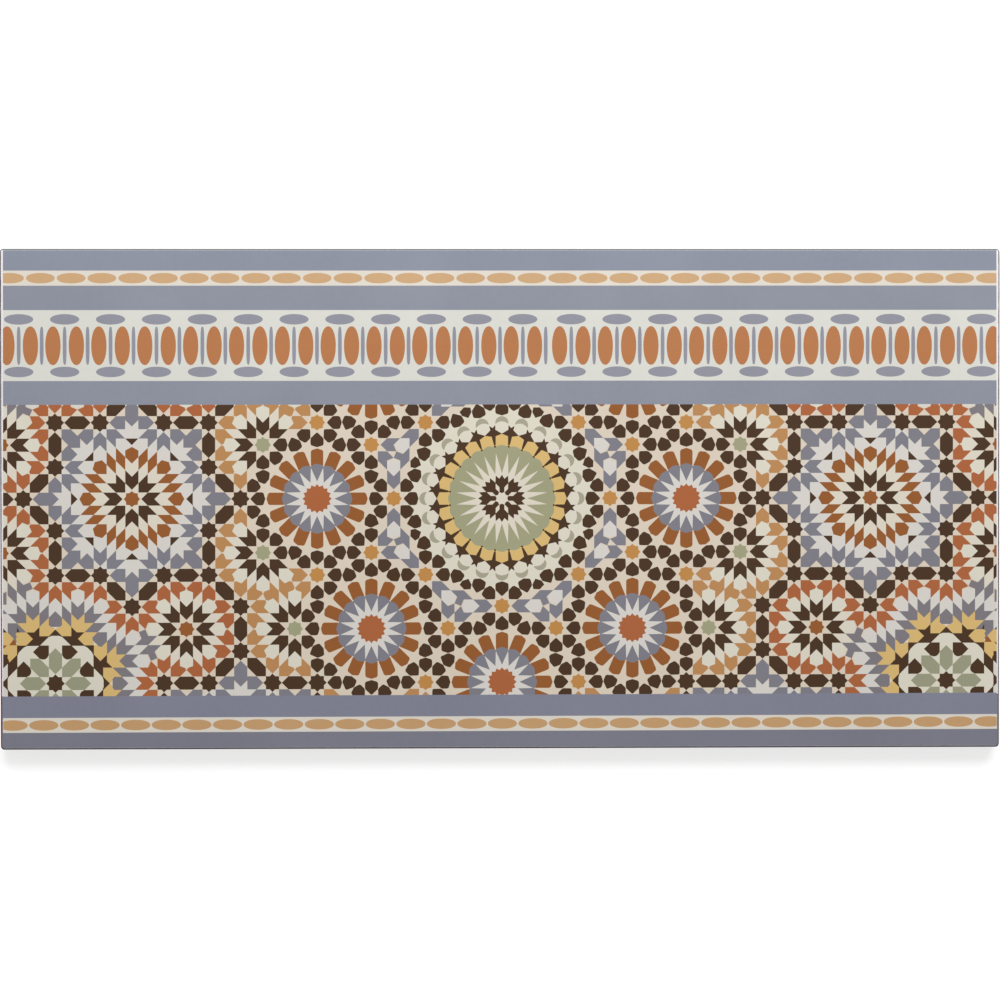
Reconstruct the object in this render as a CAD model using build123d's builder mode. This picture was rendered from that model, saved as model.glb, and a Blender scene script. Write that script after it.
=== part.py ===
"""A dry-pressed and glazed ceramic border tile, lying on its ribbed back with the glazed face up.

The origin is the middle of the back, in the plane that the ribs stand on.
+X runs along the border, +Y towards the tile's upper edge as it is fixed on a wall, +Z out of the glazed face.
"""

import os

from build123d import *

# Driving dimensions in millimetres. The tile as it leaves the press and the kiln
TILE_LENGTH = 280.0
TILE_HEIGHT = 140.0
TILE_THICKNESS = 8.0
CORNER_RADIUS = 1.0

# The glazed face's rounded edge, called the arris
ARRIS_RADIUS = 0.7

# The lower punch leaves the foot of the edges set back from the joint
FOOT_HEIGHT = 2.4
FOOT_SETBACK = 0.8

# The back is keyed for the bedding mortar: a plain rim round rows of shallow pockets, with ribs between them
RIM_WIDTH = 5.0
RIB_WIDTH = 2.6
POCKET_DEPTH = 0.9
POCKET_CORNER_CUT = 1.4
POCKET_DRAFT_ANGLE = 30.0
POCKET_PITCH_NEAR = 16.6


def pockets_in_a_row(field):
    """How many pockets and ribs fill a field of the back, and the width of one pocket at its mouth."""
    count = max(1, round((field + RIB_WIDTH) / POCKET_PITCH_NEAR))
    mouth = (field + RIB_WIDTH) / count - RIB_WIDTH
    return count, mouth


# The back's flat plane is the tile's outline less the set-back foot
back_length = TILE_LENGTH - 2 * FOOT_SETBACK
back_height = TILE_HEIGHT - 2 * FOOT_SETBACK
columns, pocket_length = pockets_in_a_row(back_length - 2 * RIM_WIDTH)
rows, pocket_height = pockets_in_a_row(back_height - 2 * RIM_WIDTH)

with BuildPart() as tile:
    # The foot tapers out from the back's plane to the full outline
    with BuildSketch(Plane.XY):
        RectangleRounded(back_length, back_height, CORNER_RADIUS)
    with BuildSketch(Plane.XY.offset(FOOT_HEIGHT)):
        RectangleRounded(TILE_LENGTH, TILE_HEIGHT, CORNER_RADIUS)
    loft(ruled=True)

    # The body above the foot has upright edges, which the joints between tiles are set against
    with BuildSketch(Plane.XY.offset(FOOT_HEIGHT)):
        RectangleRounded(TILE_LENGTH, TILE_HEIGHT, CORNER_RADIUS)
    extrude(amount=TILE_THICKNESS - FOOT_HEIGHT)
    glazed_face = tile.faces().sort_by(Axis.Z)[-1]
    fillet(glazed_face.edges(), radius=ARRIS_RADIUS)

    # The pockets of the back, with drafted walls so that the punch lets go
    with BuildSketch(Plane.XY):
        with GridLocations(pocket_length + RIB_WIDTH, pocket_height + RIB_WIDTH, columns, rows):
            with BuildSketch(mode=Mode.PRIVATE) as pocket_mouth:
                Rectangle(pocket_length, pocket_height)
                chamfer(pocket_mouth.vertices(), length=POCKET_CORNER_CUT)
            add(pocket_mouth.sketch)
    extrude(amount=POCKET_DEPTH, taper=POCKET_DRAFT_ANGLE, mode=Mode.SUBTRACT)

tile.part.label = "tile"

os.makedirs("parts", exist_ok=True)
export_step(tile.part, "parts/tile.step")
print("pockets", columns, "by", rows, "of", round(pocket_length, 2), "by", round(pocket_height, 2), "mm")
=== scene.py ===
"""A Moroccan border tile: the slab, its printed mosaic and bead borders, the light and the camera.

Everything is in metres in the tile's own frame: +X along the border, +Y to its upper edge, +Z out of the
glazed face. The drawing is worked out in millimetres on the complex plane, x + iy, and scaled to metres
when its meshes are made.
"""

import cmath
import math

import bpy
from mathutils import Euler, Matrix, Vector
from mathutils.geometry import delaunay_2d_cdt


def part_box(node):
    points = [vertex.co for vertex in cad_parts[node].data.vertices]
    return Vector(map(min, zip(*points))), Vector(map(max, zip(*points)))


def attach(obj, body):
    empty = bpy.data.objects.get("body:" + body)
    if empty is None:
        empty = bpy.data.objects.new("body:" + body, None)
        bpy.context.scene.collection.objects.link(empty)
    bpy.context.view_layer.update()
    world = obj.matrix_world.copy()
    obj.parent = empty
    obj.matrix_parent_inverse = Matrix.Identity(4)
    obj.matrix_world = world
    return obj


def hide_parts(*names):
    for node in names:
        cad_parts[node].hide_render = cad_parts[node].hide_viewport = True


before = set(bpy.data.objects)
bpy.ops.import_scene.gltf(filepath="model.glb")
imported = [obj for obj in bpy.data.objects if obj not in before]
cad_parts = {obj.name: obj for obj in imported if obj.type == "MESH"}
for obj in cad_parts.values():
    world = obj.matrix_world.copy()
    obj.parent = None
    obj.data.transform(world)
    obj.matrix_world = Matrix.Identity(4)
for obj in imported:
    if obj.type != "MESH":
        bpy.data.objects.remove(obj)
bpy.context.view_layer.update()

# The slab: clay pressed dry in a steel die, glazed on its face and fired. Beside the print it shows its
# glazed, softly rounded arris, a dark band of painted shade on the edges just under the glaze's edge, and
# bare terracotta on the edges and the back.
MM = 0.001
high_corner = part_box("tile")[1]
tile_top = high_corner[2]
half_length = high_corner[0] / MM
half_height = high_corner[1] / MM
FLAT_TOLERANCE = 0.02 * MM
SMOOTHING_ANGLE = math.radians(40)
GLAZE_DEPTH = 0.10
GLAZE_BRINK = 0.05
# Painted shade: the edges are painted near black just under the glaze's edge, olive-grey along the upper edge,
# for edges in shade
SIDE_SHADE_DEPTH = 0.85
SIDE_SHADE_FADE = 0.6
GLAZE_WANDER = 0.12
ARRIS_INK_START, ARRIS_INK_FULL = 0.95, 0.85
CLAY_COLOUR = (0.36, 0.23, 0.18)
CLAY_FLECK_COLOUR = (0.25, 0.15, 0.115)
# Painted shade colours for the dark band under the glaze's edge: near black, and olive-grey along the upper
# edge
SIDE_SHADE_COLOUR = (0.075, 0.05, 0.055)
UPPER_SIDE_SHADE_COLOUR = (0.15, 0.165, 0.16)
# White on the end arris, brighter than the print's ground: partly the glaze's own white and partly a painted
# highlight
END_GLAZE_AND_HIGHLIGHT_COLOUR = (0.80, 0.77, 0.77)
# Upper arris: the upper band's blue painted a little darker and greyer, painted shade. Lower arris: the lower
# band's blue painted lighter, partly thin glaze and partly a painted highlight
UPPER_EDGE_BLUE_AND_SHADE = (0.22, 0.23, 0.26)
LOWER_EDGE_BLUE_AND_HIGHLIGHT = (0.33, 0.32, 0.37)
LOW_END_COLOUR = (0.20, 0.20, 0.25)
LOWER_BORDER = 54.9
BORDER_BRINK = 0.2

# How fine the mottling of the glaze and the clay is, in clouds to a metre
BROAD_MOTTLING, FINE_MOTTLING, SKIN_WAVES = 42.0, 620.0, 150.0
BRIM_WANDERING, CLAY_GRAIN, DIE_FILL_CLOUDS = 260.0, 900.0, 60.0


def new_group(name, inputs, outputs):
    """An empty shader node group with named sockets, and its input and output nodes."""
    group = bpy.data.node_groups.new(name, "ShaderNodeTree")
    for label, kind in inputs:
        group.interface.new_socket(label, in_out="INPUT", socket_type=kind)
    for label, kind in outputs:
        group.interface.new_socket(label, in_out="OUTPUT", socket_type=kind)
    return group, group.nodes.new("NodeGroupInput"), group.nodes.new("NodeGroupOutput")


def add_node(tree, kind, **settings):
    """A new node with its settings made."""
    node = tree.nodes.new(kind)
    for name, value in settings.items():
        setattr(node, name, value)
    return node


def feed(tree, node, number, value):
    """Gives a node's input a socket, a plain number or a plain colour."""
    if isinstance(value, (int, float)):
        node.inputs[number].default_value = value
    elif isinstance(value, tuple):
        node.inputs[number].default_value = (*value, 1.0)
    else:
        tree.links.new(value, node.inputs[number])


def maths(tree, operation, first, second=None):
    """A maths node fed with sockets or plain numbers."""
    node = add_node(tree, "ShaderNodeMath", operation=operation)
    feed(tree, node, 0, first)
    if second is not None:
        feed(tree, node, 1, second)
    return node.outputs[0]


def ramp(tree, value, start, end):
    """Goes smoothly from 0 at start to 1 at end."""
    node = add_node(tree, "ShaderNodeMapRange", interpolation_type="SMOOTHSTEP")
    tree.links.new(value, node.inputs["Value"])
    node.inputs["From Min"].default_value = start
    node.inputs["From Max"].default_value = end
    return node.outputs["Result"]


def mix_colours(tree, factor, first, second):
    """Goes from the first colour to the second, each a socket or a plain colour."""
    node = add_node(tree, "ShaderNodeMix", data_type="RGBA")
    feed(tree, node, 0, factor)
    feed(tree, node, 6, first)
    feed(tree, node, 7, second)
    return node.outputs[2]


def noise(tree, vector, scale, detail=2.0, roughness=0.5):
    """Cloudy grey from 0 to 1. The scale is in clouds to a metre."""
    node = add_node(tree, "ShaderNodeTexNoise")
    node.inputs["Scale"].default_value = scale
    node.inputs["Detail"].default_value = detail
    node.inputs["Roughness"].default_value = roughness
    tree.links.new(vector, node.inputs["Vector"])
    return node.outputs["Fac"]


def glaze_group():
    """How the fired glaze clouds the ink under it, and how its skin waves and dulls a little."""
    colour, number = "NodeSocketColor", "NodeSocketFloat"
    group, source, result = new_group(
        "satin glaze",
        [("Ink", colour), ("Clouding", number), ("Roughness", number)],
        [("Colour", colour), ("Roughness", number), ("Wave", number)],
    )
    on_tile = add_node(group, "ShaderNodeTexCoord").outputs["Object"]
    broad = noise(group, on_tile, BROAD_MOTTLING)
    fine = noise(group, on_tile, FINE_MOTTLING, 3.0, 0.6)
    broad_share = maths(group, "MULTIPLY", broad, 0.6)
    fine_share = maths(group, "MULTIPLY", fine, 0.4)
    cloud = maths(group, "ADD", broad_share, fine_share)
    swing = maths(group, "MULTIPLY", maths(group, "SUBTRACT", cloud, 0.5), source.outputs["Clouding"])
    level = maths(group, "ADD", swing, 1.0)
    tint = add_node(group, "ShaderNodeVectorMath", operation="SCALE")
    group.links.new(source.outputs["Ink"], tint.inputs[0])
    group.links.new(level, tint.inputs["Scale"])
    dull = maths(group, "MULTIPLY", maths(group, "SUBTRACT", broad, 0.5), 0.12)
    roughness = maths(group, "ADD", source.outputs["Roughness"], dull)
    group.links.new(tint.outputs[0], result.inputs["Colour"])
    group.links.new(roughness, result.inputs["Roughness"])
    group.links.new(noise(group, on_tile, SKIN_WAVES, 1.0), result.inputs["Wave"])
    return group


satin_glaze = glaze_group()


def glazed(name, colour, clouding=0.16, roughness=0.34):
    """A glazed material over one ink. Returns the material and the glaze's node in it."""
    material = bpy.data.materials.new(name)
    material.use_nodes = True
    tree = material.node_tree
    shader = tree.nodes["Principled BSDF"]
    shader.inputs["IOR"].default_value = 1.5
    shader.inputs["Specular IOR Level"].default_value = 0.45
    group = add_node(tree, "ShaderNodeGroup")
    group.node_tree = satin_glaze
    group.inputs["Ink"].default_value = (*colour, 1.0)
    group.inputs["Clouding"].default_value = clouding
    group.inputs["Roughness"].default_value = roughness
    bump = add_node(tree, "ShaderNodeBump")
    bump.inputs["Strength"].default_value = 0.25
    bump.inputs["Distance"].default_value = 0.00004
    tree.links.new(group.outputs["Wave"], bump.inputs["Height"])
    tree.links.new(bump.outputs["Normal"], shader.inputs["Normal"])
    tree.links.new(group.outputs["Colour"], shader.inputs["Base Color"])
    tree.links.new(group.outputs["Roughness"], shader.inputs["Roughness"])
    return material, group


def beside_edge(tree, distance, half_size):
    """Goes from 0 on the face to 1 on the arris, along one direction from the tile's middle."""
    start = (half_size - ARRIS_INK_START) * MM
    return ramp(tree, distance, start, (half_size - ARRIS_INK_FULL) * MM)


def arris_ink(tree, across, up, upper):
    """The arris's colour: along the upper edge the upper band's blue, painted a little darker and greyer as
    painted shade; along the lower edge the lower band's blue, painted lighter, partly paler where the glaze
    runs thin and partly a painted highlight; and white along the ends, partly a painted highlight.
    """
    downward = maths(tree, "MULTIPLY", up, -1.0)
    lower = beside_edge(tree, downward, half_height)
    ends = beside_edge(tree, maths(tree, "ABSOLUTE", across), half_length)
    low_end = ramp(tree, downward, LOWER_BORDER * MM, (LOWER_BORDER + BORDER_BRINK) * MM)
    end_ink = mix_colours(tree, low_end, END_GLAZE_AND_HIGHLIGHT_COLOUR, LOW_END_COLOUR)
    # Painted shade along the upper arris, and a painted highlight along the lower arris
    edge_ink = mix_colours(tree, upper, END_GLAZE_AND_HIGHLIGHT_COLOUR, UPPER_EDGE_BLUE_AND_SHADE)
    edge_ink = mix_colours(tree, lower, edge_ink, LOWER_EDGE_BLUE_AND_HIGHLIGHT)
    return mix_colours(tree, ends, edge_ink, end_ink)


def bare_clay(tree, on_tile):
    """Terracotta with darker flecks, and broad faint clouds from the filling of the die."""
    grain = noise(tree, on_tile, CLAY_GRAIN, 4.0, 0.7)
    clay = mix_colours(tree, ramp(tree, grain, 0.42, 0.66), CLAY_COLOUR, CLAY_FLECK_COLOUR)
    clouds = maths(tree, "MULTIPLY", noise(tree, on_tile, DIE_FILL_CLOUDS), 0.3)
    return mix_colours(tree, clouds, clay, CLAY_FLECK_COLOUR)


def body_material():
    """Glaze on the arris, a dark band of painted shade on the edges just under the glaze's edge, and bare clay
    on the edges and back.
    """
    material, group = glazed("pressed tile body", (1.0, 1.0, 1.0))
    tree = material.node_tree
    on_tile = add_node(tree, "ShaderNodeTexCoord").outputs["Object"]
    split = add_node(tree, "ShaderNodeSeparateXYZ")
    tree.links.new(on_tile, split.inputs[0])
    across, up, height = split.outputs
    wander = maths(tree, "SUBTRACT", noise(tree, on_tile, BRIM_WANDERING, 3.0), 0.5)
    uneven_height = maths(tree, "ADD", height, maths(tree, "MULTIPLY", wander, GLAZE_WANDER * MM))
    brim = tile_top - GLAZE_DEPTH * MM
    glaze = ramp(tree, uneven_height, brim - GLAZE_BRINK * MM, brim + GLAZE_BRINK * MM)
    # Painted shade: a dark band on the edges just under the glaze's edge, olive-grey near the upper edge
    side_shade = ramp(tree, uneven_height, brim - SIDE_SHADE_DEPTH * MM, brim - SIDE_SHADE_FADE * SIDE_SHADE_DEPTH * MM)
    upper = beside_edge(tree, up, half_height)
    side_shade_colour = mix_colours(tree, upper, SIDE_SHADE_COLOUR, UPPER_SIDE_SHADE_COLOUR)
    clay = mix_colours(tree, side_shade, bare_clay(tree, on_tile), side_shade_colour)
    ink_and_clay = mix_colours(tree, glaze, clay, arris_ink(tree, across, up, upper))
    dull = maths(tree, "SUBTRACT", 0.86, maths(tree, "MULTIPLY", glaze, 0.5))
    tree.links.new(ink_and_clay, group.inputs["Ink"])
    tree.links.new(dull, group.inputs["Roughness"])
    return material


def body_mesh():
    """The solid slab's mesh without the flat of its glazed face, and the flat's outline in order."""
    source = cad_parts["tile"]
    corners = []
    number = {}
    same = []
    for vertex in source.data.vertices:
        spot = source.matrix_world @ vertex.co
        key = tuple(round(c / MM, 4) for c in spot)
        if key not in number:
            number[key] = len(corners)
            corners.append(spot)
        same.append(number[key])
    kept = []
    sides = {}
    for face in source.data.polygons:
        ring = [same[n] for n in face.vertices]
        if all(corners[n].z > tile_top - FLAT_TOLERANCE for n in ring):
            for first, second in zip(ring, ring[1:] + ring[:1]):
                if (second, first) in sides:
                    del sides[second, first]
                else:
                    sides[first, second] = True
        elif len(set(ring)) == len(ring):
            kept.append(ring)
    after = {first: second for first, second in sides}
    outline = [next(iter(after))]
    while after[outline[-1]] != outline[0]:
        outline.append(after[outline[-1]])
    used = sorted({n for ring in kept for n in ring})
    renumbered = {n: k for k, n in enumerate(used)}
    faces = [[renumbered[n] for n in ring] for ring in kept]
    mesh = bpy.data.meshes.new("tile body")
    mesh.from_pydata([corners[n] for n in used], [], faces)
    mesh.validate()
    mesh.update()
    return mesh, [complex(corners[n].x, corners[n].y) / MM for n in outline]


slab_mesh, face_outline = body_mesh()
tile_body = bpy.data.objects.new("tile_body", slab_mesh)
bpy.context.scene.collection.objects.link(tile_body)
tile_body.data.materials.append(body_material())
with bpy.context.temp_override(object=tile_body, selected_editable_objects=[tile_body]):
    bpy.ops.object.shade_smooth_by_angle(angle=SMOOTHING_ANGLE)
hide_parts("tile")
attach(tile_body, "root")

# The printed mosaic: inks laid on the slab under its clear glaze and fired with it, with no thickness of their
# own. It is a traditional eight-fold pattern of the zellige kind. Shapes are laid down in painter's order, a
# later one over an earlier one.
STAR_SIDE = 3.676
MOSAIC_CENTRE = complex(0.17, -0.04)
FLAT_MARGIN = 0.7
PANEL_LEFT, PANEL_RIGHT = FLAT_MARGIN - half_length, half_length - FLAT_MARGIN
PANEL_LOW, PANEL_HIGH = -55.3, 26.5
FLATTENING = 0.45
LOWER_SKEW = 0.0014

half = STAR_SIDE / 2
tip = half * math.sqrt(2)
up = 1j * half
shapes = []
seen = set()


def step(tips, halves):
    """A distance on the pattern's lattice: so many star radii and half star sides."""
    return tips * tip + halves * half


def toward(degrees, distance=1.0):
    """The point at a distance from the middle, in a direction."""
    return distance * cmath.exp(1j * math.radians(degrees))


def both(outline):
    """Closes half an outline, listed from its inner to its outer end, with its image across the axis."""
    return outline + [p.conjugate() for p in reversed(outline) if abs(p.imag) > 1e-6]


def flipped(outline, mirrored=True):
    """The mirror image of an outline across the axis it is drawn along."""
    return [p.conjugate() for p in outline] if mirrored else outline


def star_polygon(points, outer, inner, first=0.0):
    """A star with its outer tips at first, first + 360/points and so on."""
    ring = []
    for n in range(points):
        ring.append(toward(first + 360 / points * n, outer))
        ring.append(toward(first + 360 / points * (n + 0.5), inner))
    return ring


def repeated(times, marks):
    """A closed outline that repeats so many times round. Each mark is an angle in degrees and a radius."""
    return [toward(360 / times * n + degrees, radius) for n in range(times) for degrees, radius in marks]


def disc(radius, sides=96):
    """A circle round the middle."""
    return [toward(360 / sides * n, radius) for n in range(sides)]


def ink(colour, outline):
    """Lays down one flat shape, given in millimetres in the tile's frame."""
    shapes.append((colour, outline))


def band(colour, high, low, left, right, skew=0.0):
    """A flat band across the print, level or a hair askew."""
    first, last = complex(left, left * skew), complex(right, right * skew)
    ink(colour, [first + 1j * low, last + 1j * low, last + 1j * high, first + 1j * high])


def as_printed(p):
    """A point of the mosaic on the tile, pressed a hair flatter and, towards its foot, a hair askew."""
    p += MOSAIC_CENTRE
    depth = (PANEL_HIGH - p.imag) / (PANEL_HIGH - PANEL_LOW)
    return p + 1j * depth * (FLATTENING + LOWER_SKEW * p.real)


def place(colour, outline, spot=0j, turn=0.0):
    """Lays down a shape and its images under the eight turns and mirrors, where they reach the panel."""
    set_down = [spot + p * toward(turn) for p in outline]
    for mirrored in (False, True):
        for eighth in range(8):
            turned = [p * toward(45 * eighth) for p in flipped(set_down, mirrored)]
            image = [as_printed(p) for p in turned]
            left, right = min(p.real for p in image), max(p.real for p in image)
            low, high = min(p.imag for p in image), max(p.imag for p in image)
            if right < PANEL_LEFT or left > PANEL_RIGHT or high < PANEL_LOW or low > PANEL_HIGH:
                continue
            middle = sum(image) / len(image)
            key = (colour, round(middle.real, 1), round(middle.imag, 1), len(outline))
            if key in seen:
                continue
            seen.add(key)
            ink(colour, image)


def petals(colour, outline, spot, turns):
    """Lays down one shape at several turns round a spot."""
    for turn in turns:
        place(colour, outline, spot, turn)


# The mosaic's small pieces, each drawn along +X away from the middle of the star that it touches
khatam = star_polygon(8, tip, half / math.cos(math.radians(22.5)))
heart = star_polygon(8, 0.87 * tip, 0.70 * tip)
shield = both([step(1, 0.1), step(1, 0.25) + 0.22 * up, step(1, 0.92) + 0.92 * up, step(1, 1.15) + up,
               step(1, 1.85) + up, step(1, 2.1) + 0.86 * up, step(1, 2.36)])
arrow = both([step(1, 0), step(1, 1) + up, step(1, 3) + up, step(1, 2)])
cut_left = [step(1, 0), step(1, 1) - up, step(1, 3) - up, step(1, 2), step(2, 1) + up, step(1, 1) + up]
cut_right = flipped(cut_left)
hexagon = both([step(1, 2), step(1, 3) + up, step(2, 3) - 0.38 + up, step(3, 2) - 0.42])
cheek = [step(2, 3) - 0.8 + up, step(2, 3) + up, step(3, 2) - 0.05 + 0.25j, step(3, 2) - 0.7 + 0.25j]
rhombus = [step(1, 1) + up, step(1, 3) + up, complex(step(2, 3), step(1, 1)),
           complex(step(2, 1), step(1, 1))]
saft = both([step(1, 0), step(1, 1) + up, step(1, 3) + up, step(1, 4)])
pentagon = both([step(1, 0), step(1, 1) + up, step(2, 1) + up])
chevron = both([step(1, 2), step(1, 3) + up, step(1, 5) + up, step(1, 4)])
lance_shoulder = toward(22.5, tip)
lance_point = lance_shoulder + 2 * tip * math.sin(math.radians(22.5))
lance = both([0, toward(67.5, 2 * half), lance_shoulder, lance_point])


def centre_rosette():
    """The great sunburst of twenty-four rays at the middle of the mosaic, from its rim inwards."""
    rays = 24
    shoulder, crescent, crown = 19.36, 21.31, 21.73
    bead = both([18.24, shoulder + up, 21.0 + up, 21.5 + 0.55 * up, crown])
    block = both([13.3, 14.9 + 1.93j, 15.0 + 1.73j, 17.5 + 1.73j, 18.2])
    rim = [crescent + half * toward(90 - 15 * k) for k in range(13)]
    for n in range(rays):
        place("dark", [step(6, 8) - p for p in shield], 0, 360 / rays * n)
        place("pale sage", [shoulder + up, *rim, shoulder - up], 0, 360 / rays * n)
    seed = both([24.5, 25.7 + 1.42j, 27.0 + 1.66j, 27.75])
    for n in range(8):
        place("dark", seed, 0, 22.5 + 45 * n)
    place("dark", repeated(rays, ((0, 18.24), (5.3, 20.67), (7.5, 19.97), (9.7, 20.67))))
    for n in range(rays):
        place("bead white", bead, 0, 360 / rays * n)
        place("yellow", block, 0, 360 / rays * n)
    scallop = ((-7.5, 14.40), (-5, 14.76), (-2.5, 14.99), (0, 15.09), (2.5, 14.99), (5, 14.76))
    place("sage", repeated(rays, scallop))
    place("cream", star_polygon(rays, 12.85, 7.07, 7.5))
    tooth, notch, deep_notch = 6.65, 5.59, 4.80
    teeth = ((0, tooth), (7.5, notch), (15, tooth), (22.5, deep_notch), (30, tooth), (37.5, notch))
    place("dark", repeated(8, teeth))
    kite = both([1.79, 2.4 + 0.26j, 3.16 + 0.56j, 4.58])
    for n in range(8):
        place("cream", kite, 0, 22.5 + 45 * n)
    place("cream", star_polygon(8, 1.95, 1.48, 22.5))


def near_khatams():
    """The orange stars round the sunburst, and the blue lances between them."""
    star = step(6, 8)
    place("orange", heart, star)
    for side in (90, -90):
        place("blue", arrow, star, side)
        place("white", hexagon, star, side)
    petals("dark", shield, star, (0, 45, 135, 180, 225, 315))
    knot = complex(step(5, 7), step(2, 3))
    place("blue", lance, knot, 22.5)
    far = complex(step(7, 10), step(3, 4))
    place("orange", heart, far)
    place("blue", cut_left, far, 180)
    place("blue", cut_right, far, 225)
    petals("dark", shield, far, (0, 45, 90, 135, 270, 315))


def satellite():
    """The sixteen-fold rosette that stands on each axis."""
    middle = step(10, 14)
    petal = both([9.3, 9.3 + 1.72j, 13.2 + 1.74j, 13.7 + 1.45j, 14.15])
    for n in range(16):
        place("dark", [step(4, 6) - p for p in shield], middle, 22.5 * n)
        place("brown", petal, middle, 22.5 * n)
    place("blue", repeated(16, ((-11.25, 9.25), (-6, 9.65), (0, 9.85), (6, 9.65))), middle)
    place("white", star_polygon(16, 8.9, 4.85, 11.25), middle)
    place("terracotta", star_polygon(16, 4.1, 3.42, 0), middle)


def ochre_band():
    """The sage rosettes and the ochre arrows between the satellites and the great stars."""
    node = complex(step(10, 14), step(4, 6))
    place("orange", heart, node)
    place("ochre", cut_left, node, 0)
    place("ochre", cut_right, node, 45)
    petals("dark", shield, node, (90, 135, 180, 225, 270, 315))
    fork = complex(step(12, 17), step(5, 7))
    petals("ochre", lance, fork, (202.5, 22.5))
    far = complex(step(14, 20), step(6, 8))
    place("dark", khatam, far)
    place("ochre", cut_left, far, 180)
    place("ochre", cut_right, far, 225)
    place("ochre", cut_right, far, 135)
    place("ochre", cut_left, far, 270)
    axis_star = step(14, 20)
    place("dark", khatam, axis_star)
    petals("dark", shield, axis_star, (180, 135, 225))
    place("ochre", cut_right, axis_star, 90)
    place("ochre", cut_left, axis_star, -90)
    place("blue", saft, axis_star, 0)
    petals("dark", saft, axis_star, (45, -45))
    rosette = complex(step(13, 18), step(3, 4))
    outward = (315, 0, 45, 90, 135)
    place("sage", heart, rosette)
    petals("dark", shield, rosette, (180, 225, 270))
    petals("dark", arrow, rosette, outward)
    petals("ochre", cheek, rosette, outward)
    petals("ochre", flipped(cheek), rosette, outward)
    petals("soft white", hexagon, rosette, outward)
    petals("cream", rhombus, rosette, outward[:-1])
    aside = complex(step(3, 4), step(1, 2))
    for star, first, second in ((rosette + aside, 180, 225), (rosette + aside.conjugate(), 135, 180)):
        place("dark", khatam, star)
        place("ochre", cut_right, star, first)
        place("ochre", cut_left, star, second)


def great_star():
    """The eight-fold rosette ringed with white stars and blue pieces."""
    middle = step(20, 28)
    place("white", star_polygon(16, step(5, 5), step(5, 4)), middle)
    place("cream", star_polygon(8, step(1, 4), step(1, 3)), middle)
    place("brown", heart, middle)
    flank = [step(1, 3) + up, step(1, 5) + up, complex(step(2, 5), step(1, 1)),
             complex(step(2, 3), step(1, 1))]
    for n in range(8):
        turn = 45 * n
        place("dark", arrow, middle, turn)
        place("pale", chevron, middle, turn)
        place("pale", rhombus, middle, turn)
        place("brown", flank, middle, turn)
        place("brown", flipped(flank), middle, turn)
        place("brown", both([step(1, 4), step(1, 5) + up, step(1, 6) + up, step(1, 6.55)]), middle, turn)
        place("dark", both([step(3, 4), step(3, 5) + up]), middle, turn)
        place("blue", [p + step(4, 4) for p in saft], middle, turn)
        place("dark", khatam, middle + toward(turn, step(6, 8)))
        star = middle + complex(step(4, 6), step(2, 2)) * toward(turn)
        place("dark", khatam, star)
        petals("blue", arrow, star, (turn + 180, turn + 225))
        petals("blue", pentagon, star, (turn + 135, turn + 270))
        petals("dark", saft, star, (turn + 90, turn - 45))


def corner_takes(spot):
    """Whether a star's place falls inside the ring of the corner rosette."""
    return abs(spot - complex(step(24, 34), step(10, 14))) < step(5, 6)


def small_rosettes():
    """The terracotta rosettes round each great star, with a star of their own at the middle."""
    inner = complex(step(17, 24), step(7, 10))
    outer = complex(step(27, 38), step(3, 4))
    star_ring = abs(complex(step(3, 4), step(1, 2)))
    for middle in (inner, outer):
        place("brown", heart, middle)
        stars = [middle + toward(22.5 + 45 * n, star_ring) for n in range(8)]
        for n in range(8):
            turn = 45 * n
            star_stays = not corner_takes(stars[n])
            both_stay = star_stays and not corner_takes(stars[n - 1])
            place("dark", arrow, middle, turn)
            if both_stay:
                place("terracotta", cheek, middle, turn)
                place("terracotta", flipped(cheek), middle, turn)
            place("soft white", hexagon, middle, turn)
            place("cream", rhombus, middle, turn)
            if star_stays:
                place("terracotta", cut_right, stars[n], turn + 180)
                place("terracotta", cut_left, stars[n], turn + 225)
                place("dark", khatam, stars[n])
            if both_stay:
                place("dark", saft, stars[n], turn - 90)


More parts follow.
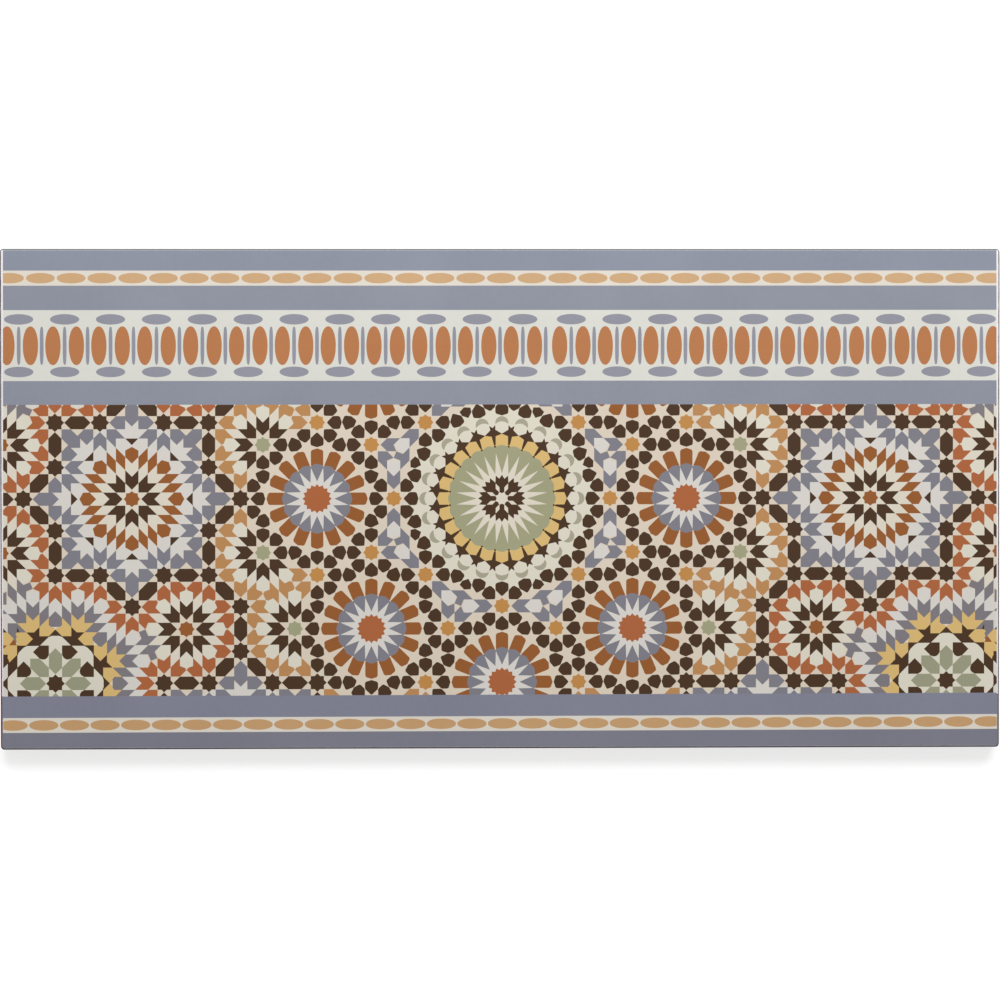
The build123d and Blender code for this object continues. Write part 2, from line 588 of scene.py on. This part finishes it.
def corner_rosette():
    """The green flower in the lower corners, with its cream domes and its yellow and blue rays."""
    middle = complex(step(24, 34), step(10, 14))
    place("white", disc(step(5, 6), 48), middle)
    place("dark", disc(17.5, 48), middle)
    dome_tops = ((-22.5, 11.48), (-8.2, 13.22), (-4, 13.45), (4, 13.45), (8.2, 13.22))
    place("soft white", repeated(8, dome_tops), middle)
    dome_foot = [complex(step(2, 3), step(1, 1)), step(2, 3) + up, 8.07 + up, 7.24 + 2.29j, 6.85 + 2.82j,
                 6.73 + 3.49j, 7.01 + 4.41j, complex(step(2, 2), step(1, 2))]
    small_dart = both([step(3, 4), step(4, 2.8) + up, step(4, 3.2) + up])
    bud = both([step(4, 3), step(4, 3) + 0.72 * up, step(4, 3.3) + up, step(5, 3) + up, step(5, 4)])
    white_point = both([step(5, 4), step(5, 3) + up, step(5, 5) + up, step(5, 6)])
    yellow_star = [complex(step(4, 5), step(1, 1)), complex(step(4, 4), step(1, 2)),
                   complex(step(4, 5), step(1, 3)), complex(step(3, 5), step(1, 3)),
                   complex(step(3, 5), step(2, 3)), complex(step(2, 5), step(1, 3)),
                   complex(step(2, 5), 5.96), complex(step(4, 3), step(1, 1))]
    leaf = [complex(step(4, 5), step(1, 3)), complex(step(4, 7), step(1, 3)),
            complex(step(5, 7), step(2, 3)), complex(step(5, 5), step(2, 3))]
    yellow_kite = [step(5, 3) + up, complex(step(4, 3), step(1, 1)), complex(step(3, 3), step(1, 1)),
                   step(3, 3) + up, step(3, 4) + 0.05j, 15.7 + 0.45j, 16.1 + up]
    blue_side = [step(5, 5) + up, step(5, 3) + up, complex(step(4, 3), step(1, 1)),
                 complex(step(4, 5), step(1, 1))]
    white_side = [step(5, 5) + up, step(5, 7) + up, complex(step(4, 7), step(1, 1)),
                  complex(step(4, 5), step(1, 1))]
    side_star = complex(step(3, 4), step(1, 2))
    for n in range(8):
        turn = 45.0 * n
        place("dark", dome_foot, middle, turn)
        place("dull sage", saft, middle, turn)
        place("cream", small_dart, middle, turn)
        place("deep blue", bud, middle, turn)
        place("white", white_point, middle, turn)
        place("yellow", yellow_star, middle, turn)
        place("white", leaf, middle, turn)
        for mirrored in (False, True):
            place("yellow", flipped(yellow_kite, mirrored), middle, turn)
            place("deep blue", flipped(blue_side, mirrored), middle, turn)
            place("white", flipped(white_side, mirrored), middle, turn)
            place("deep blue", flipped([p + side_star for p in arrow], mirrored), middle, turn)
            place("white", flipped([p + side_star for p in hexagon], mirrored), middle, turn)
        star = middle + toward(turn, step(6, 8))
        place("terracotta", arrow, star, turn + 180)
        place("terracotta", cut_right, star, turn + 135)
        place("terracotta", cut_left, star, turn + 225)
    joint = [complex(step(5, 9), step(2, 3)), complex(step(5, 8), step(2, 2)),
             complex(step(6, 7), step(2, 1)), complex(step(6, 6), step(1, 2)),
             complex(step(5, 7), step(1, 3)), complex(step(4, 7), step(1, 3)),
             complex(step(5, 7), step(2, 3))]
    place("deep blue", joint, middle, 180)
    place("deep blue", flipped(joint), middle, 225)
    place("deep blue", joint, middle, 270)
    cut_side(middle)
    lowest_star = middle - complex(step(2, 4), step(6, 8))
    place("terracotta", cut_right, lowest_star, 45)
    place("terracotta", cut_left, lowest_star, 90)
    place("dark", khatam, middle)


def cut_side(middle):
    """The side of the corner flower at the tile's end, where it runs into the next tile's flower."""
    near, far, end = step(2, 3), step(3, 3), 15.3
    low, high, brow = step(2, 5), step(3, 5), 10.8
    white_foot = far + 1j * step(4, 5)
    white_end = end + 1j * step(4, 5)
    pieces = (
        ("white", [far - 6j, end - 6j, white_end, white_foot]),
        ("white", [white_foot, complex(near, high), complex(far, high)]),
        ("deep blue", [white_foot, complex(end, 21.6), white_end]),
        ("deep blue", [complex(far, high), complex(near, high), complex(near, low), 11.75 + 13.0j,
                       complex(far, low)]),
        ("dark", [complex(near, 0.4 * low + 0.6 * high), complex(step(1, 4), low), complex(near, low)]),
        ("dark", [complex(end, 16.4), 13.5 + 1j * low, complex(end, low)]),
        ("yellow", [p + 1j * step(2, 4) for p in hexagon]),
        ("yellow", [11.6 + 12.6j, complex(far, low), complex(end, low), complex(end, brow),
                    12.9 + 1j * brow]),
        ("brown", [11.6 + 12.5j, 12.9 + 1j * brow, complex(near, brow)]),
        ("yellow", [complex(near, brow), complex(end, brow), end + 8.2j, far + 8.2j, 12.9 + 5.95j,
                    complex(near, step(1, 3))]),
        ("brown", [complex(end, brow), 13.5 + 1j * brow, 14.1 + 10.1j, end + 9.6j]),
        ("dark", [end + 8.2j, far + 8.2j, far + 5.6j, end + 3.6j]),
        ("dark", [complex(near, step(1, 3)), complex(near, step(1, 1)), far + up, far + 3 * up]),
        ("dark", [complex(near, -step(1, 3)), complex(near, -step(1, 1)), far - up, far - 3 * up]),
        ("dark", [far + up, far - up, step(3, 4)]),
        ("deep blue", [complex(far, step(6, 7)), complex(far, step(6, 5)), complex(near, step(5, 5)),
                       complex(near, step(5, 7))]),
        ("deep blue", [14.0 + 25.6j, complex(far + 0.28, 25.9), complex(far + 0.28, step(5, 5)),
                       complex(end, step(5, 5)), end + 25.3j]),
    )
    for colour, outline in pieces:
        place(colour, flipped(outline), middle)


def lay_mosaic():
    """The whole mosaic panel, on its pale ground."""
    band("ground", PANEL_HIGH, PANEL_LOW, PANEL_LEFT, PANEL_RIGHT)
    place("pale ground", disc(27.0))
    corner_rosette()
    great_star()
    small_rosettes()
    ochre_band()
    near_khatams()
    satellite()
    centre_rosette()


lay_mosaic()

# The borders: flat bands over and under the mosaic, which crop it, with rows of lozenges and a row of beads,
# printed and fired with it. The beads were printed in two lengths, which meet with a slightly wider gap right
# of the middle, and the lower bands lie a hair askew.
PAST_EDGE = 72.0
UPPER_BANDS = (
    ("upper blue", PAST_EDGE, 63.87),
    ("strip", 63.87, 59.66),
    ("third blue", 59.66, 52.84),
    ("bead ground", 52.84, 33.06),
    ("third blue", 33.06, 26.4),
)
LOWER_BANDS = (
    ("lower blue", -LOWER_BORDER, -60.93),
    ("strip", -60.93, -65.08),
    ("lowest blue", -65.08, -PAST_EDGE),
)
UPPER_LOZENGE = (8.04, 2.92)
UPPER_LOZENGE_PITCH, UPPER_LOZENGE_START, UPPER_LOZENGE_LINE = 8.58, 0.04, 61.75
LOWER_LOZENGE = (8.2, 2.95)
LOWER_LOZENGE_PITCH, LOWER_LOZENGE_START, LOWER_LOZENGE_LINE = 8.552, 0.27, -63.0
BEAD = (4.28, 10.86)
SPINDLE = (1.06, 10.66)
FLAT_BEAD = (8.18, 2.95)
BEAD_LINE = 42.9
FLAT_BEAD_LINES = (50.26, 35.58)
BEAD_PITCH = 6.4
FIRST_SPINDLE = -6.73
SCREEN_JOIN = 14.0
JOIN_GAP = 0.77
HEAD_MARGIN, FOOT_MARGIN = 0.95, 0.69


def oval(colour, x, y, length, width, bluntness=2.12, sides=28):
    """An oval, an ellipse at bluntness 2 and squarer above it, trimmed where it would run off the print."""
    ring = []
    for n in range(sides):
        across, along = math.cos(math.tau * n / sides), math.sin(math.tau * n / sides)
        across = math.copysign(abs(across) ** (2 / bluntness), across)
        along = math.copysign(abs(along) ** (2 / bluntness), along)
        ring.append(complex(x + length / 2 * across, y + width / 2 * along))
    ring = [complex(min(max(p.real, PANEL_LEFT), PANEL_RIGHT), p.imag) for p in ring]
    if max(p.real for p in ring) - min(p.real for p in ring) > 0.1:
        ink(colour, ring)


def lozenge_rows():
    """The row of ochre ovals on each pale strip. The lower row follows its askew strip."""
    for n in range(-16, 17):
        upper_place = UPPER_LOZENGE_PITCH * n
        lower_place = LOWER_LOZENGE_PITCH * n
        lower_line = LOWER_LOZENGE_LINE + lower_place * LOWER_SKEW
        oval("upper ochre", upper_place + UPPER_LOZENGE_START, UPPER_LOZENGE_LINE, *UPPER_LOZENGE)
        oval("lower ochre", lower_place + LOWER_LOZENGE_START, lower_line, *LOWER_LOZENGE)


def bead_row():
    """Upright beads with spindles between them, and a flat bead over and under every other spindle."""
    for n in range(-22, 23):
        spindle = FIRST_SPINDLE + BEAD_PITCH * n
        bead = spindle + (3.27 if n % 2 == 0 else 3.13)
        spindle += JOIN_GAP if spindle > SCREEN_JOIN else 0.0
        bead += JOIN_GAP if bead > SCREEN_JOIN else 0.0
        oval("bead blue", spindle, BEAD_LINE, *SPINDLE, 3.2)
        oval("bead terracotta", bead, BEAD_LINE, *BEAD, 2.1)
        if n % 2 == 0:
            for line in FLAT_BEAD_LINES:
                oval("bead blue", spindle, line, *FLAT_BEAD, 2.0)


def end_margins():
    """The white at each end, partly unprinted glaze and partly a painted highlight along the arris, which
    narrows towards the mosaic's foot and stops there.
    """
    for end in (-1, 1):
        brink = end * half_length
        head, foot = end * (half_length - HEAD_MARGIN), end * (half_length - FOOT_MARGIN)
        ink("edge white and highlight", [head + 1j * half_height, brink + 1j * half_height, brink - 1j * LOWER_BORDER,
                           foot - 1j * LOWER_BORDER])


for band_ink, band_high, band_low in UPPER_BANDS:
    band(band_ink, band_high, band_low, PANEL_LEFT, PANEL_RIGHT)
for band_ink, band_high, band_low in LOWER_BANDS:
    band(band_ink, band_high, band_low, -half_length, half_length, LOWER_SKEW)
lozenge_rows()
bead_row()
end_margins()

# The sheets of ink: the drawing is parted into plane areas that don't overlap. Each ink's areas make one thin
# sheet, flush with the flat of the glazed face, and all of them share the satin glaze.


def srgb(red, green, blue):
    """The linear colour of three values from 0 to 255."""
    shares = (red / 255, green / 255, blue / 255)
    return tuple(v / 12.92 if v < 0.04045 else ((v + 0.055) / 1.055) ** 2.4 for v in shares)


INKS = {
    # The white at the ends: partly unprinted glaze and partly a painted highlight along the arris
    "edge white and highlight": srgb(226, 222, 226),
    "ground": srgb(211, 198, 180),
    "pale ground": srgb(212, 207, 190),
    "cream": srgb(213, 205, 189),
    "soft white": srgb(212, 207, 191),
    "pale": srgb(213, 205, 189),
    "white": srgb(208, 204, 197),
    "bead white": srgb(212, 206, 190),
    "blue": srgb(121, 119, 128),
    "deep blue": srgb(120, 115, 120),
    "dark": srgb(66, 42, 18),
    "brown": srgb(143, 84, 34),
    "terracotta": srgb(165, 93, 51),
    "orange": srgb(184, 131, 67),
    "ochre": srgb(179, 130, 80),
    "yellow": srgb(209, 176, 111),
    "sage": srgb(154, 154, 122),
    "dull sage": srgb(148, 148, 123),
    "pale sage": srgb(160, 156, 135),
    "upper blue": srgb(132, 137, 152),
    "third blue": srgb(134, 138, 151),
    "lower blue": srgb(124, 126, 142),
    "lowest blue": srgb(118, 119, 132),
    "strip": srgb(214, 207, 195),
    "bead ground": srgb(209, 209, 201),
    "bead blue": srgb(138, 139, 150),
    "upper ochre": srgb(196, 159, 117),
    "lower ochre": srgb(190, 150, 105),
    "bead terracotta": srgb(176, 114, 69),
}
BLUE_CLOUDING, CLOUDING = 0.22, 0.14
CELL = 2.0
CHART_LENGTH, CHART_HEIGHT = 282, 141


def inside(ring, x, y):
    """Whether a point is inside a closed outline."""
    within = False
    for (x1, y1), (x2, y2) in zip(ring, ring[1:] + ring[:1]):
        if (y1 > y) != (y2 > y) and x < x1 + (y - y1) * (x2 - x1) / (y2 - y1):
            within = not within
    return within


def numbered_outlines(outlines):
    """The outlines' points, each listed once, and each outline as an anticlockwise ring of their numbers."""
    points = []
    number = {}
    faces = []
    for outline in outlines:
        ring = []
        for p in outline:
            key = (round(p.real, 4), round(p.imag, 4))
            if key not in number:
                number[key] = len(points)
                points.append(Vector(key))
            if not ring or ring[-1] != number[key]:
                ring.append(number[key])
        if ring[0] == ring[-1]:
            ring.pop()
        sides = zip(ring, ring[1:] + ring[:1])
        area = sum(points[a].x * points[b].y - points[b].x * points[a].y for a, b in sides)
        faces.append(ring if area > 0 else ring[::-1])
    return points, faces


def outlines_by_cell(rings):
    """Which outlines reach into each square cell of the face, in painter's order."""
    cells = {}
    for order, ring in enumerate(rings):
        across = [x for x, _ in ring]
        along = [y for _, y in ring]
        for column in range(math.floor(min(across) / CELL), math.floor(max(across) / CELL) + 1):
            for row in range(math.floor(min(along) / CELL), math.floor(max(along) / CELL) + 1):
                cells.setdefault((column, row), []).append(order)
    return cells


def parted_by_ink():
    """Triangles that fill the flat of the face without overlap, sorted by the ink that lies on top there."""
    points, faces = numbered_outlines([face_outline] + [outline for _, outline in shapes])
    names = ["edge white and highlight"] + [colour for colour, _ in shapes]
    spots, _, triangles, _, _, _ = delaunay_2d_cdt(points, [], faces, 1, 1e-4, False)
    rings = [[(points[n].x, points[n].y) for n in ring] for ring in faces]
    cells = outlines_by_cell(rings)
    by_ink = {}
    for triangle in triangles:
        x = sum(spots[n].x for n in triangle) / 3
        y = sum(spots[n].y for n in triangle) / 3
        if not inside(rings[0], x, y):
            continue
        reaching = cells[math.floor(x / CELL), math.floor(y / CELL)]
        top = next(k for k in reversed(reaching) if inside(rings[k], x, y))
        by_ink.setdefault(names[top], []).append(triangle)
    return spots, by_ink


def ink_sheet(name, spots, triangles):
    """One ink's thin sheet, with its material and a flat chart of the face to bake on."""
    used = sorted({n for triangle in triangles for n in triangle})
    place_of = {n: k for k, n in enumerate(used)}
    corners = [(spots[n].x * MM, spots[n].y * MM, tile_top) for n in used]
    mesh = bpy.data.meshes.new("print " + name)
    mesh.from_pydata(corners, [], [[place_of[n] for n in triangle] for triangle in triangles])
    chart = mesh.uv_layers.new(name="OFBake")
    for loop in mesh.loops:
        x, y, _ = corners[loop.vertex_index]
        chart.data[loop.index].uv = (0.5 + x / MM / CHART_LENGTH, 0.5 + y / MM / CHART_HEIGHT)
    mesh.update()
    clouding = BLUE_CLOUDING if "blue" in name else CLOUDING
    mesh.materials.append(glazed("ink " + name, INKS[name], clouding)[0])
    sheet = bpy.data.objects.new("print_" + name.replace(" ", "_"), mesh)
    bpy.context.scene.collection.objects.link(sheet)
    return sheet


print_spots, print_parts = parted_by_ink()
for ink_name, ink_triangles in print_parts.items():
    ink_piece = ink_sheet(ink_name, print_spots, ink_triangles)
    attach(ink_piece, "root")

# The floor: a plain pale sheet that the tile lies on, which takes its shadow and isn't part of it. To the
# camera it glows a little, so that it is seen as white.
FLOOR_REACH = 3.0
FLOOR_COLOUR = (0.6, 0.6, 0.6)
FLOOR_GLOW = 0.66

floor_corners = [
    (-FLOOR_REACH, -FLOOR_REACH, 0),
    (FLOOR_REACH, -FLOOR_REACH, 0),
    (FLOOR_REACH, FLOOR_REACH, 0),
    (-FLOOR_REACH, FLOOR_REACH, 0),
]
floor_mesh = bpy.data.meshes.new("floor")
floor_mesh.from_pydata(floor_corners, [], [(0, 1, 2, 3)])
floor = bpy.data.objects.new("floor", floor_mesh)
bpy.context.scene.collection.objects.link(floor)
floor_material = bpy.data.materials.new("plain floor")
floor_material.use_nodes = True
floor_tree = floor_material.node_tree
floor_shader = floor_tree.nodes["Principled BSDF"]
floor_shader.inputs["Base Color"].default_value = (*FLOOR_COLOUR, 1.0)
floor_shader.inputs["Roughness"].default_value = 0.9
floor_shader.inputs["Specular IOR Level"].default_value = 0.1
camera_ray = add_node(floor_tree, "ShaderNodeLightPath").outputs["Is Camera Ray"]
seen_glow = add_node(floor_tree, "ShaderNodeEmission")
seen_glow.inputs["Color"].default_value = (1.0, 1.0, 1.0, 1.0)
floor_tree.links.new(maths(floor_tree, "MULTIPLY", camera_ray, FLOOR_GLOW), seen_glow.inputs["Strength"])
floor_sum = add_node(floor_tree, "ShaderNodeAddShader")
floor_tree.links.new(floor_shader.outputs[0], floor_sum.inputs[0])
floor_tree.links.new(seen_glow.outputs[0], floor_sum.inputs[1])
floor_tree.links.new(floor_sum.outputs[0], floor_tree.nodes["Material Output"].inputs["Surface"])
floor.data.materials.append(floor_material)

# The light: a pale room, and a broad soft lamp beyond the tile's upper edge, so that the face darkens a
# little downward.
ROOM_STRENGTH = 0.33
LAMP_LENGTH, LAMP_WIDTH = 0.9, 0.5
LAMP_POWER = 6.6
LAMP_PLACE = Vector((0.05, 0.48, 0.52))

world = bpy.data.worlds.new("pale room")
bpy.context.scene.world = world
world.use_nodes = True
world.node_tree.nodes["Background"].inputs["Color"].default_value = (1.0, 1.0, 1.0, 1.0)
world.node_tree.nodes["Background"].inputs["Strength"].default_value = ROOM_STRENGTH

lamp_data = bpy.data.lights.new("soft lamp", "AREA")
lamp_data.shape = "RECTANGLE"
lamp_data.size = LAMP_LENGTH
lamp_data.size_y = LAMP_WIDTH
lamp_data.energy = LAMP_POWER
lamp = bpy.data.objects.new("soft_lamp", lamp_data)
lamp.location = LAMP_PLACE
lamp.rotation_euler = (-LAMP_PLACE).to_track_quat("-Z", "Y").to_euler()
bpy.context.scene.collection.objects.link(lamp)

# The camera: a long lens high above the tile, a little to the left of and above its middle, which looks down
# on the glazed face nearly square on.
CAMERA_LENS = 204.658
CAMERA_PLACE = (-0.05431, 0.03711, 1.59864)
CAMERA_TILT = (math.radians(-1.3468), math.radians(-1.9433), math.radians(-0.0393))

camera_data = bpy.data.cameras.new("camera")
camera_data.sensor_width = 36.0
camera_data.lens = CAMERA_LENS
camera_data.clip_end = 20.0
camera = bpy.data.objects.new("camera", camera_data)
camera.location = CAMERA_PLACE
camera.rotation_euler = Euler(CAMERA_TILT, "XYZ")
bpy.context.scene.collection.objects.link(camera)
bpy.context.scene.camera = camera

bpy.context.scene.view_settings.view_transform = "Standard"
